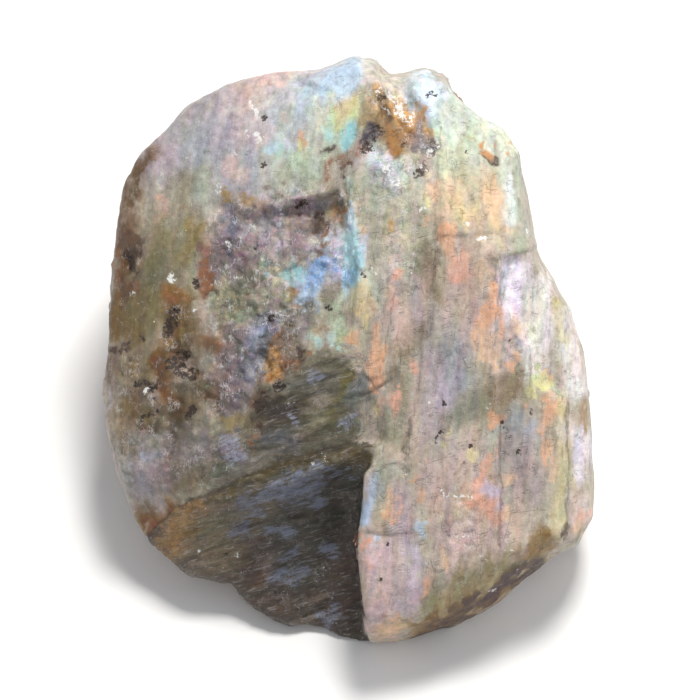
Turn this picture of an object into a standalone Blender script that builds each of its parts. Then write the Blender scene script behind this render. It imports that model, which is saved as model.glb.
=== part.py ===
"""Rough labradorite chunk: one broken piece of feldspar, about 49 x 56 x 34 mm, resting on its flat base.

The broad face leans back, and most of the shape is described in that face's own frame, in millimetres:
u runs across it, v up it and n out of it. The chunk is worked as the stone itself was: a nodule is
cleaved along flat planes, flakes and hollows break out of it, it weathers, and it rests on a flat base.
"""

import math

import bmesh
import bpy
from mathutils import Matrix, Vector, noise

NODE = "labradorite_chunk"
MM = 0.001

# Where the broad face's frame lies in the part's frame.
FACE_LEAN_DEG = 30.0
FACE_ORIGIN = Vector((0.0, -1.5, 18.0))

# The girdle: the widest outline, seen square to the broad face, clockwise from its top (u, v).
GIRDLE = [
    (-3.0, 28.1), (0.0, 29.3), (2.5, 29.2), (3.5, 27.6), (5.4, 27.6), (7.6, 28.3), (9.4, 27.6),
    (10.6, 25.7), (13.0, 23.5), (15.5, 22.1), (16.8, 20.0), (17.8, 15.8), (19.0, 9.4), (22.1, 4.2),
    (23.5, -0.5), (24.0, -7.4), (24.4, -13.5), (24.2, -17.0), (23.0, -19.5), (20.4, -20.8),
    (17.6, -22.8), (14.4, -25.4), (10.3, -27.8), (5.5, -29.3), (2.2, -29.7), (-0.5, -29.0),
    (-6.2, -27.5), (-9.8, -25.7), (-11.5, -23.6), (-16.1, -22.6), (-19.9, -19.6), (-21.6, -17.0),
    (-23.2, -12.3), (-24.3, -6.2), (-25.0, -2.5), (-24.4, 1.5), (-23.5, 8.9), (-22.8, 15.9),
    (-21.4, 19.5), (-16.4, 24.4), (-12.0, 26.6), (-8.0, 27.9),
]
GIRDLE_DEPTH = -3.5

# How the nodule narrows in front of and behind its girdle (n, scale).
NODULE_RINGS = [
    (12.0, 0.62), (7.0, 0.84), (3.0, 0.945), (-0.5, 0.99), (GIRDLE_DEPTH, 1.0),
    (-8.0, 0.985), (-15.0, 0.93), (-23.0, 0.82), (-32.0, 0.66),
]

# Cleavage planes of the broad side: a point (u, v, n), and how fast the plane rises along u and v.
FRONT_PLANES = {
    "right_face": ((1.0, 3.0, 7.0), (-0.10, 0.03)),
    "right_strip": ((17.6, -4.0, 5.1), (-0.62, -0.045)),
    "top_right": ((9.0, 13.0, 6.5), (-0.35, -0.36)),
    "upper_left": ((0.5, 12.0, 6.6), (0.30, -0.20)),
    "lower_left": ((1.2, -1.0, 6.9), (0.28, 0.04)),
    "left_edge": ((-19.0, 5.0, 1.4), (1.0, -0.10)),
    "left_foot": ((-17.5, -14.0, 1.4), (0.60, 0.55)),
    "top_left_shoulder": ((-10.5, 23.7, 1.0), (0.36, -0.75)),
    "lower_right": ((13.0, -21.0, 5.2), (-0.24, 0.48)),
    "underside": ((13.0, -24.6, 3.7), (-1.30, 2.40)),
}

# Broken planes of the back: the way each faces (u, v, n), and how far past the girdle it lies.
BACK_PLANES = {
    "back_top": ((0.08, 0.93, -0.36), 0.6),
    "back": ((0.04, 0.60, -0.80), 5.5),
    "back_left": ((-0.66, 0.36, -0.66), 4.5),
    "back_right": ((0.62, 0.42, -0.66), 4.0),
    "left_side": ((-0.93, 0.10, -0.35), 0.8),
    "right_side": ((0.92, 0.02, -0.40), 1.0),
    "left_heel": ((-0.72, -0.34, -0.60), 3.0),
    "right_heel": ((0.66, -0.45, -0.60), 2.6),
    "under_base": ((0.0, -0.50, -0.866), 1.2),
}

# Flakes broken out of the broad side: corners of each one's floor (u, v, n), cut clear up to here.
CUT_TOP = 20.0
FLAKES = {
    "peak_shoulder": [
        (-11.0, 31.0, -3.0), (-10.5, 26.6, -1.5), (-5.0, 26.2, -0.5), (-3.2, 27.6, -0.6),
        (-3.0, 31.0, -2.0),
    ],
    "notch": [
        (3.5, 31.0, -1.4), (3.5, 26.0, 1.6), (2.7, 23.0, 3.9), (1.2, 20.2, 4.4), (3.2, 18.6, 5.1),
        (8.6, 20.6, 3.0), (7.8, 23.6, 2.5), (6.0, 25.6, 1.8), (5.4, 31.0, -1.4),
    ],
    "rough_patch": [
        (-13.8, 15.2, 1.2), (-10.0, 13.6, 2.2), (-6.5, 14.4, 2.8), (-3.5, 15.0, 3.4), (-0.6, 15.9, 4.4),
        (0.0, 12.5, 5.3), (0.6, 8.0, 6.1), (0.3, 3.0, 6.0), (-0.8, -0.4, 5.9), (-4.5, -1.6, 5.0),
        (-9.0, -3.8, 3.9), (-13.5, -4.6, 2.8), (-15.6, -1.0, 2.3), (-15.2, 5.0, 2.5), (-14.4, 10.0, 2.3),
    ],
    "overhang": [
        (-6.6, 14.4, 1.9), (-3.4, 14.8, 2.4), (-0.5, 15.9, 3.2), (-0.5, 11.6, 4.6), (-2.4, 10.0, 4.9),
        (-6.6, 10.4, 3.8),
    ],
    "left_cavity": [
        (-18.3, 3.8, 0.9), (-17.5, 4.3, 1.2), (-17.2, 1.2, 1.2), (-15.4, -0.9, 1.6), (-14.2, -2.9, 2.1),
        (-16.8, -2.6, 1.0), (-18.2, -0.2, 0.8),
    ],
    "left_pit": [
        (-22.7, 10.2, -3.0), (-21.4, 10.0, -2.0), (-21.4, 7.2, -2.0), (-22.6, 7.4, -3.0),
    ],
    "right_sheet": [
        (15.1, 9.3, 4.7), (17.6, 9.8, 3.8), (19.6, 6.6, 2.7), (28.0, 5.0, -2.6), (28.0, -4.8, -2.2),
        (21.5, -4.8, 1.9), (18.1, -3.6, 4.1), (18.0, 0.0, 4.0), (17.2, 0.6, 4.5), (16.9, 2.6, 4.5),
        (15.4, 3.9, 4.9), (14.8, 5.0, 5.0),
    ],
    "right_edge_sheet": [
        (21.2, 2.4, 1.2), (28.0, 2.0, -3.4), (28.0, -21.0, -3.4), (22.0, -19.4, 1.7), (21.7, -12.0, 1.7),
        (21.6, -5.0, 1.6),
    ],
    "hollow_brow": [
        (-9.6, -5.4, 3.8), (-5.0, -2.6, 5.2), (0.4, 0.8, 6.8), (2.6, -2.2, 6.5), (3.5, -9.2, 5.2),
        (1.0, -9.8, 4.9), (-3.0, -11.6, 3.7), (-8.5, -13.8, 2.4), (-14.0, -15.6, 1.4), (-12.6, -9.6, 2.9),
    ],
}

# The deep hollow under the slab: rows of its floor from the left end to the slab's broken edge.
HOLLOW_ROWS = [
    [(-19.5, -17.6, 1.4), (-19.2, -19.2, -0.6), (-19.0, -22.0, -2.2), (-19.0, -33.0, -4.0)],
    [(-14.0, -15.0, 2.3), (-14.0, -17.2, -0.3), (-14.0, -20.5, -1.9), (-14.0, -33.0, -3.8)],
    [(-8.5, -13.3, 4.0), (-8.5, -16.4, -0.1), (-8.0, -20.5, -2.3), (-8.0, -33.0, -4.0)],
    [(-3.0, -11.2, 5.6), (-3.0, -15.0, 0.9), (-2.8, -20.0, -2.1), (-2.8, -33.0, -4.2)],
    [(1.0, -9.4, 6.7), (0.4, -13.0, 2.6), (-0.2, -18.0, -1.4), (-0.2, -33.0, -4.2)],
    [(3.1, -9.6, 6.7), (1.3, -12.4, 4.0), (0.7, -19.0, -0.9), (2.2, -33.0, -4.2)],
]

# Shell-shaped scars broken out of the back and sides: a ball's centre (u, v, n) and radius.
SCARS = {
    "back_scar": ((-11.0, 33.5, -27.5), 17.0),
    "right_scar": ((31.0, 14.5, -20.0), 17.5),
    "left_scar": ((-33.0, -6.0, -18.0), 15.0),
    "heel_scar": ((9.0, 16.0, -40.0), 19.0),
}

VOXEL = 0.45
THIN_OUT_RATIO = 0.12
SHARP_DEG = 35.0

# Weathering: broad swells, and splintery facets, each with its size and its height.
SWELL_SIZE = 9.0
SWELL_HEIGHT = 0.40
SWELL_OCTAVES = 3

# The facets are long along v. Each lies higher or lower and is tilted by its own noise, read at its
# centre times these, and the step to the next one takes this share of its size.
SPLINTER_STRETCH = Vector((1.0, 0.45, 1.0))
SPLINTER_LIFT = 0.5
LIFT_NOISE_SCALE = 7.7
TILT_NOISE_SCALE = 5.3
STEP_WIDTH = 0.16

# The back, from the first of these depths downwards, is splintered all over, fading out at the second.
BACK_FADE_DEPTHS = (-7.0, -0.5)
BACK_SPLINTER_SIZE = 6.5
BACK_SPLINTER_HEIGHT = 1.2
PATCH_SPLINTER_SIZE = 3.4
PATCH_SPLINTER_HEIGHT = 0.55

# The broad side is splintered only in its rough places: centre (u, v) and radius, each fading out
# between these shares of the radius.
PATCH_FADE = (0.6, 1.2)
ROUGH_PLACES = [
    ((-6.0, 8.0), 7.0), ((-10.0, 2.0), 6.0), ((5.0, 21.0), 4.5), ((-17.0, 1.0), 3.5), ((2.5, 16.0), 3.0),
    ((18.5, 4.0), 3.5),
]

STONE_COLOUR = (0.42, 0.38, 0.31, 1.0)
STONE_ROUGHNESS = 0.45


def face_matrix():
    """Carries the broad face's frame into the part's frame, in millimetres."""
    lean = Matrix.Rotation(math.radians(FACE_LEAN_DEG), 4, "X")
    return Matrix.Translation(FACE_ORIGIN) @ lean


def clear_scene():
    for obj in list(bpy.data.objects):
        bpy.data.objects.remove(obj, do_unlink=True)


def add_object(name, bm):
    mesh = bpy.data.meshes.new(name)
    bm.to_mesh(mesh)
    bm.free()
    obj = bpy.data.objects.new(name, mesh)
    bpy.context.scene.collection.objects.link(obj)
    return obj


def nodule():
    """A closed loft through scaled copies of the girdle."""
    bm = bmesh.new()
    rings = []
    for depth, scale in NODULE_RINGS:
        rings.append([bm.verts.new((u * scale, v * scale, depth)) for u, v in GIRDLE])
    count = len(GIRDLE)
    for upper, lower in zip(rings, rings[1:]):
        for i in range(count):
            j = (i + 1) % count
            bm.faces.new((upper[i], upper[j], lower[j], lower[i]))
    bm.faces.new(rings[0][::-1])
    bm.faces.new(rings[-1])
    bmesh.ops.recalc_face_normals(bm, faces=bm.faces)
    return bm


def cleave(bm, point, normal):
    """Breaks off everything beyond a plane and closes the flat face that is left."""
    cut = bmesh.ops.bisect_plane(
        bm,
        geom=bm.verts[:] + bm.edges[:] + bm.faces[:],
        plane_co=point,
        plane_no=normal,
        clear_outer=True,
    )
    rim = [item for item in cut["geom_cut"] if isinstance(item, bmesh.types.BMEdge)]
    bmesh.ops.holes_fill(bm, edges=rim)


def cleave_broad_side(bm):
    for point, (rise_u, rise_v) in FRONT_PLANES.values():
        cleave(bm, Vector(point), Vector((-rise_u, -rise_v, 1.0)))


def cleave_back(bm):
    for facing, past_girdle in BACK_PLANES.values():
        normal = Vector(facing).normalized()
        reach = max(normal.dot((u, v, GIRDLE_DEPTH)) for u, v in GIRDLE)
        cleave(bm, normal * (reach + past_girdle), normal)


def floor_cutter(name, rows):
    """A closed block whose underside is the given floor: one row is a polygon, more rows a grid."""
    bm = bmesh.new()
    grid = [[bm.verts.new(corner) for corner in row] for row in rows]
    if len(grid) == 1:
        bm.faces.new(grid[0])
    for near, far in zip(grid, grid[1:]):
        for i in range(len(near) - 1):
            bm.faces.new((near[i], near[i + 1], far[i + 1], far[i]))
    raised = bmesh.ops.extrude_face_region(bm, geom=bm.faces[:])
    for item in raised["geom"]:
        if isinstance(item, bmesh.types.BMVert):
            item.co.z = CUT_TOP
    bmesh.ops.recalc_face_normals(bm, faces=bm.faces)
    return add_object(name, bm)


def scar_cutter(name, centre, radius):
    bm = bmesh.new()
    bmesh.ops.create_icosphere(bm, subdivisions=4, radius=radius, matrix=Matrix.Translation(centre))
    return add_object(name, bm)


def bake(obj):
    """Replaces an object's mesh by the mesh that its modifiers make of it."""
    evaluated = obj.evaluated_get(bpy.context.evaluated_depsgraph_get())
    mesh = bpy.data.meshes.new_from_object(evaluated)
    obj.modifiers.clear()
    obj.data = mesh


def break_out(obj, cutters):
    """Cuts every cutter's shape out of an object, gives it an even mesh, and removes the cutters."""
    for tool in cutters:
        cut = obj.modifiers.new(tool.name, "BOOLEAN")
        cut.operation = "DIFFERENCE"
        cut.solver = "EXACT"
        cut.object = tool
    remesh = obj.modifiers.new("even_mesh", "REMESH")
    remesh.mode = "VOXEL"
    remesh.voxel_size = VOXEL
    bake(obj)
    for tool in cutters:
        bpy.data.objects.remove(tool, do_unlink=True)


def smooth_step(edge0, edge1, value):
    share = min(max((value - edge0) / (edge1 - edge0), 0.0), 1.0)
    return share * share * (3.0 - 2.0 * share)


def back_share(place):
    """0 on the broad side, 1 on the back, and in between where the two meet."""
    return 1.0 - smooth_step(*BACK_FADE_DEPTHS, place.z)


def rough_share(place):
    """How far a place of the broad side lies within a rough patch, from 0 to 1."""
    share = 0.0
    for centre, radius in ROUGH_PLACES:
        distance = (place.xy - Vector(centre)).length / radius
        share = max(share, 1.0 - smooth_step(*PATCH_FADE, distance))
    return share * (1.0 - back_share(place))


def splinters(place, size):
    """A height made of long flat facets, each with its own tilt, that meet in narrow steps."""
    spot = place * SPLINTER_STRETCH / size
    distances, facets = noise.voronoi(spot)
    heights = []
    for facet in facets[:2]:
        lift = SPLINTER_LIFT * noise.noise(facet * LIFT_NOISE_SCALE)
        tilt = noise.noise_vector(facet * TILT_NOISE_SCALE)
        heights.append(lift + (spot - facet).dot(tilt))
    share = 0.5 + 0.5 * smooth_step(0.0, STEP_WIDTH, distances[1] - distances[0])
    return share * heights[0] + (1.0 - share) * heights[1]


def weather(mesh):
    places = [vert.co.copy() for vert in mesh.vertices]
    normals = [vert.normal.copy() for vert in mesh.vertices]
    for vert, place, normal in zip(mesh.vertices, places, normals):
        height = SWELL_HEIGHT * noise.fractal(place / SWELL_SIZE, 1.0, 2.0, SWELL_OCTAVES)
        height += BACK_SPLINTER_HEIGHT * back_share(place) * splinters(place, BACK_SPLINTER_SIZE)
        height += PATCH_SPLINTER_HEIGHT * rough_share(place) * splinters(place, PATCH_SPLINTER_SIZE)
        vert.co = place + normal * height


def thin_out(obj):
    """Collapses the even mesh where it is nearly flat, so that edges keep their points."""
    obj.modifiers.new("thin_out", "DECIMATE").ratio = THIN_OUT_RATIO
    bake(obj)


def cut_base(obj):
    bm = bmesh.new()
    bm.from_mesh(obj.data)
    cleave(bm, Vector(), Vector((0.0, 0.0, -1.0)))
    bm.to_mesh(obj.data)
    bm.free()


def stone_material():
    material = bpy.data.materials.new("labradorite")
    material.use_nodes = True
    shader = material.node_tree.nodes["Principled BSDF"]
    shader.inputs["Base Color"].default_value = STONE_COLOUR
    shader.inputs["Roughness"].default_value = STONE_ROUGHNESS
    shader.inputs["Metallic"].default_value = 0.0
    material.diffuse_color = STONE_COLOUR
    return material


def main():
    clear_scene()
    bm = nodule()
    cleave_broad_side(bm)
    cleave_back(bm)
    chunk = add_object(NODE, bm)
    cutters = [floor_cutter(name, [floor]) for name, floor in FLAKES.items()]
    cutters.append(floor_cutter("hollow", HOLLOW_ROWS))
    cutters += [scar_cutter(name, centre, radius) for name, (centre, radius) in SCARS.items()]
    break_out(chunk, cutters)
    weather(chunk.data)
    chunk.data.transform(Matrix.Scale(MM, 4) @ face_matrix())
    thin_out(chunk)
    cut_base(chunk)
    chunk.data.shade_smooth()
    chunk.data.set_sharp_from_angle(angle=math.radians(SHARP_DEG))
    chunk.data.materials.append(stone_material())


main()
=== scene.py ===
"""Looks of the rough labradorite chunk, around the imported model.

The CAD solid gives the shape. A finer copy of it gets the cleavage steps, splinters, cracks and pits
that the solid is too coarse for, and a feldspar whose colours and flashes are painted where they lie.

Places on the stone are given in its broad face's own frame, in millimetres: u across, v up, n out.
"""

import itertools
import math
from types import SimpleNamespace

import bpy
import numpy as np
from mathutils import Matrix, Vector, noise


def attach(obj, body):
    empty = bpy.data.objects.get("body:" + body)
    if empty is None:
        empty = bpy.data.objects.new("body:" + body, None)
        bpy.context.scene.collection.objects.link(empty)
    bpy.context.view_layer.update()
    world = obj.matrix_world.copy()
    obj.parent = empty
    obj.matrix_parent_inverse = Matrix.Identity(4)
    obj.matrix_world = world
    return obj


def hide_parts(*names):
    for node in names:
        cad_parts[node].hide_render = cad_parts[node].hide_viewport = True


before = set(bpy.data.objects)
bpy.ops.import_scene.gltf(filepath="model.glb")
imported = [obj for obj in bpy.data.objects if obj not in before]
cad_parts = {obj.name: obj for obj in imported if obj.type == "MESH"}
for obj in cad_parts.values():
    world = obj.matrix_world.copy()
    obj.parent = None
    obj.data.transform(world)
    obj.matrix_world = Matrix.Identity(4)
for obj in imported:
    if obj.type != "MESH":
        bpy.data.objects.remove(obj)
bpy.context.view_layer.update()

NODE = "labradorite_chunk"
PIECE = "labradorite_stone"
MM = 0.001

# Without a seed, Blender's noise vectors would differ from run to run.
NOISE_SEED = 7
noise.seed_set(NOISE_SEED)

# The broad face's frame, as in the part: its lean about X, and where its origin lies (mm).
FACE_LEAN = math.radians(30.0)
FACE_ORIGIN = np.array((0.0, -1.5, 18.0))
FACE_AXES = np.array(
    (
        (1.0, 0.0, 0.0),
        (0.0, math.cos(FACE_LEAN), math.sin(FACE_LEAN)),
        (0.0, -math.sin(FACE_LEAN), math.cos(FACE_LEAN)),
    )
)

# The cleavage planes of the broad side, as n at (u, v) = (0, 0) and its rise along u and v.
BROAD_PLANES = (
    (8.85, 0.30, -0.20),
    (6.604, 0.28, 0.04),
    (7.01, -0.10, 0.03),
    (14.33, -0.35, -0.36),
    (15.832, -0.62, -0.045),
)

# The stone's grain, in degrees: how far it leans to the left of upright on the broad face, how it rises
# to the right in the hollow, and how the wrinkles across the broad face rise.
UPRIGHT_LEAN = 5.0
SWEEP_RISE = 18.0
WRINKLE_RISE = 14.0

# The fine mesh: the cell that it is rebuilt with, and the share of triangles that thinning out leaves.
VOXEL = 0.26 * MM
TRIANGLES_KEPT = 0.66

# Layers of broken facets, for each kind of surface: how high a layer is (mm), its cells in a mm along
# each axis, their shift, the seed, and the facets' tilt, lift and step.
STEPS = (
    (0.20, (0.60, 0.11, 0.6), 3.0, 11, 0.3, 0.5, 0.05),
    (0.09, (1.7, 0.35, 1.2), 7.0, 12, 0.5, 0.5, 0.10),
)
SPLINTERS = (
    (0.42, (0.75, 0.5, 0.75), 0.0, 21, 1.3, 0.8, 0.08),
    (0.20, (1.9, 1.4, 1.9), 0.0, 22, 1.5, 0.9, 0.12),
)
RIDGES = (
    (0.42, (0.9, 0.16, 0.5), 0.0, 31, 1.0, 0.7, 0.10),
    (0.14, (2.2, 0.4, 1.2), 0.0, 32, 1.3, 0.8, 0.15),
)
BROKEN_BACK = (
    (0.42, (0.17, 0.14, 0.17), 0.0, 43, 1.3, 0.5, 0.04),
    (0.45, (0.42, 0.30, 0.42), 0.0, 41, 1.1, 0.7, 0.07),
    (0.20, (1.1, 0.8, 1.1), 0.0, 42, 1.4, 0.9, 0.10),
)

# How deep cracks, pinholes and the painted shadow lines are cut (mm), and how far their sides reach
# beyond them.
CUT_DEPTH = 0.12
CUT_REACH = 0.25

# How much further than painted the zones' colours lie from the stone's own.
CONTRAST = 1.15

# How much of the stone's own colour stains and flashes hide, where they are at their strongest.
STAIN_STRENGTH = 0.92
FLASH_STRENGTH = 0.85

# Dark dots of at least this radius (mm), inclusions and the painted shadow dots under the overhang
# alike, have a rusty halo this many times as wide.
HALO_FROM = 0.20
HALO_WIDTH = 2.2
HALO_STRENGTH = 0.55

# What tints the unseen back: the colour, the patches' size (mm), and where their noise fades in.
BACK_TINTS = (
    ("lavender_grey", 9.0, 0.0, 0.5),
    ("khaki", 7.0, 0.1, 0.6),
    ("mauve_grey", 6.0, 0.1, 0.5),
    ("pink_grey", 8.0, 0.1, 0.6),
    ("tan_brown", 4.0, 0.25, 0.6),
    ("rust_tan", 2.6, 0.40, 0.7),
)

# The softboxes: where each lies from the stone, how far off (m), its width (m), power (W) and colour.
LIGHTS = (
    ("key", (0.14, 0.38, 0.86), 0.55, 0.15, 2.8, (1.0, 0.98, 0.94)),
    ("fill", (0.9, 0.05, 0.4), 0.7, 0.5, 1.1, (1.0, 1.0, 1.0)),
)


def linear(channel):
    """A channel of a display colour, as the linear one that the renderer works in."""
    return channel / 12.92 if channel <= 0.04045 else ((channel + 0.055) / 1.055) ** 2.4


def read_palette(table):
    """Colours by name. Each line is one: its name, red, green and blue, as seen on a display."""
    rows = (line.split() for line in table.strip().splitlines())
    return {name: np.array([linear(float(channel)) for channel in rgb]) for name, *rgb in rows}


def read_points(words):
    """Points (u, v) in mm, from words like -35,120: u and v in tenths of a millimetre."""
    return [tuple(int(number) / 10 for number in word.split(",")) for word in words]


def read_strokes(table):
    """Strokes, one a line: the colour, if it isn't the last one's, radius (mm), strength and points."""
    strokes = []
    colour = []
    for line in table.strip().splitlines():
        words = line.split()
        if words[0] in PALETTE:
            colour = [words.pop(0)]
        radius, strength, *points = words
        strokes.append((*colour, float(radius), float(strength), read_points(points)))
    return strokes


# The colours, as seen on a display (red, green, blue).
PALETTE = read_palette("""
body .69 .65 .58
back .62 .58 .52
hollow .27 .25 .21
lavender_grey .66 .64 .67
cool_grey .65 .66 .66
blush .8 .71 .68
lilac .72 .66 .68
salmon .8 .68 .63
tan_brown .52 .43 .33
umber .38 .27 .13
olive .55 .52 .41
sage_grey .64 .65 .58
mint_grey .73 .76 .68
blue_grey .72 .75 .75
pale_blue .7 .76 .8
beige .8 .77 .71
khaki_grey .64 .64 .53
tan .64 .55 .4
tan_light .83 .73 .57
ice_white .8 .86 .9
mint_white .84 .88 .84
mint .8 .82 .72
cool_white .78 .8 .82
stone_green .71 .69 .6
greige .72 .69 .64
peach_tan .82 .72 .55
greige_pink .78 .7 .63
olive_grey .55 .5 .41
mauve_grey .65 .6 .58
pink_grey .75 .67 .63
slate_grey .6 .6 .62
lilac_grey .66 .61 .61
slate_lilac .65 .63 .68
grey_green .52 .51 .45
orange_grey .74 .6 .52
lavender_white .87 .85 .88
blush_white .82 .75 .72
yellow_olive .79 .74 .54
beige_grey .66 .61 .54
brown_band .57 .46 .28
sage_olive .6 .55 .41
under_brown .36 .29 .16
pink_lilac .76 .67 .67
rim_blue .66 .7 .74
greige_dark .62 .57 .51
peach_grey .78 .66 .52
olive_brown .47 .38 .2
khaki .48 .43 .28
moss_grey .46 .45 .36
olive_gold .54 .47 .26
rust .55 .34 .19
rust_tan .58 .4 .22
mauve_brown .42 .34 .28
amber_brown .5 .33 .1
mauve_dark .42 .38 .34
mauve .49 .44 .44
tan_gold .64 .5 .34
slate_blue .42 .43 .49
brown_streak .44 .36 .25
stone_grey .52 .5 .46
blue_white .74 .77 .84
olive_deep .42 .39 .22
stone_sage .62 .6 .51
blue_lilac .55 .57 .64
mauve_pale .6 .56 .55
hollow_grey .42 .38 .32
hollow_olive .33 .28 .15
hollow_brown .29 .23 .19
hollow_blue .43 .46 .54
sky_pale .68 .77 .86
ice .78 .87 .96
gold .86 .77 .56
yellow .84 .8 .56
lime .76 .84 .58
cyan .5 .78 .82
cyan_pale .66 .84 .84
orange .9 .66 .5
mint_flash .72 .82 .7
blush_flash .86 .7 .66
green_flash .62 .72 .58
sky .45 .67 .92
coral .87 .63 .54
peach .88 .72 .58
ochre .75 .58 .32
lavender_flash .76 .73 .84
blue_flash_grey .58 .6 .68
amber .58 .39 .1
amber_light .78 .58 .3
brown .24 .14 .07
mauve_stain .56 .46 .46
slate_dark .4 .39 .42
rust_stain .53 .34 .19
umber_stain .36 .26 .16
gold_stain .58 .47 .22
orange_stain .74 .5 .26
ink .1 .09 .1
white .95 .95 .94
crack .33 .29 .22
khaki_tan .5 .43 .29
stone_brown .45 .39 .28
frost_blue .63 .63 .68
brow_olive .41 .39 .3
brow_grey .42 .4 .35
brow_cool .47 .48 .47
brow_dark .32 .29 .22
lilac_dim .55 .53 .58
cyan_bright .7 .93 .95
navy .25 .24 .32
mauve_light .6 .56 .58
pearl .86 .84 .82
hollow_pale .46 .42 .32
amber_glow .61 .46 .24
""")
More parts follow.
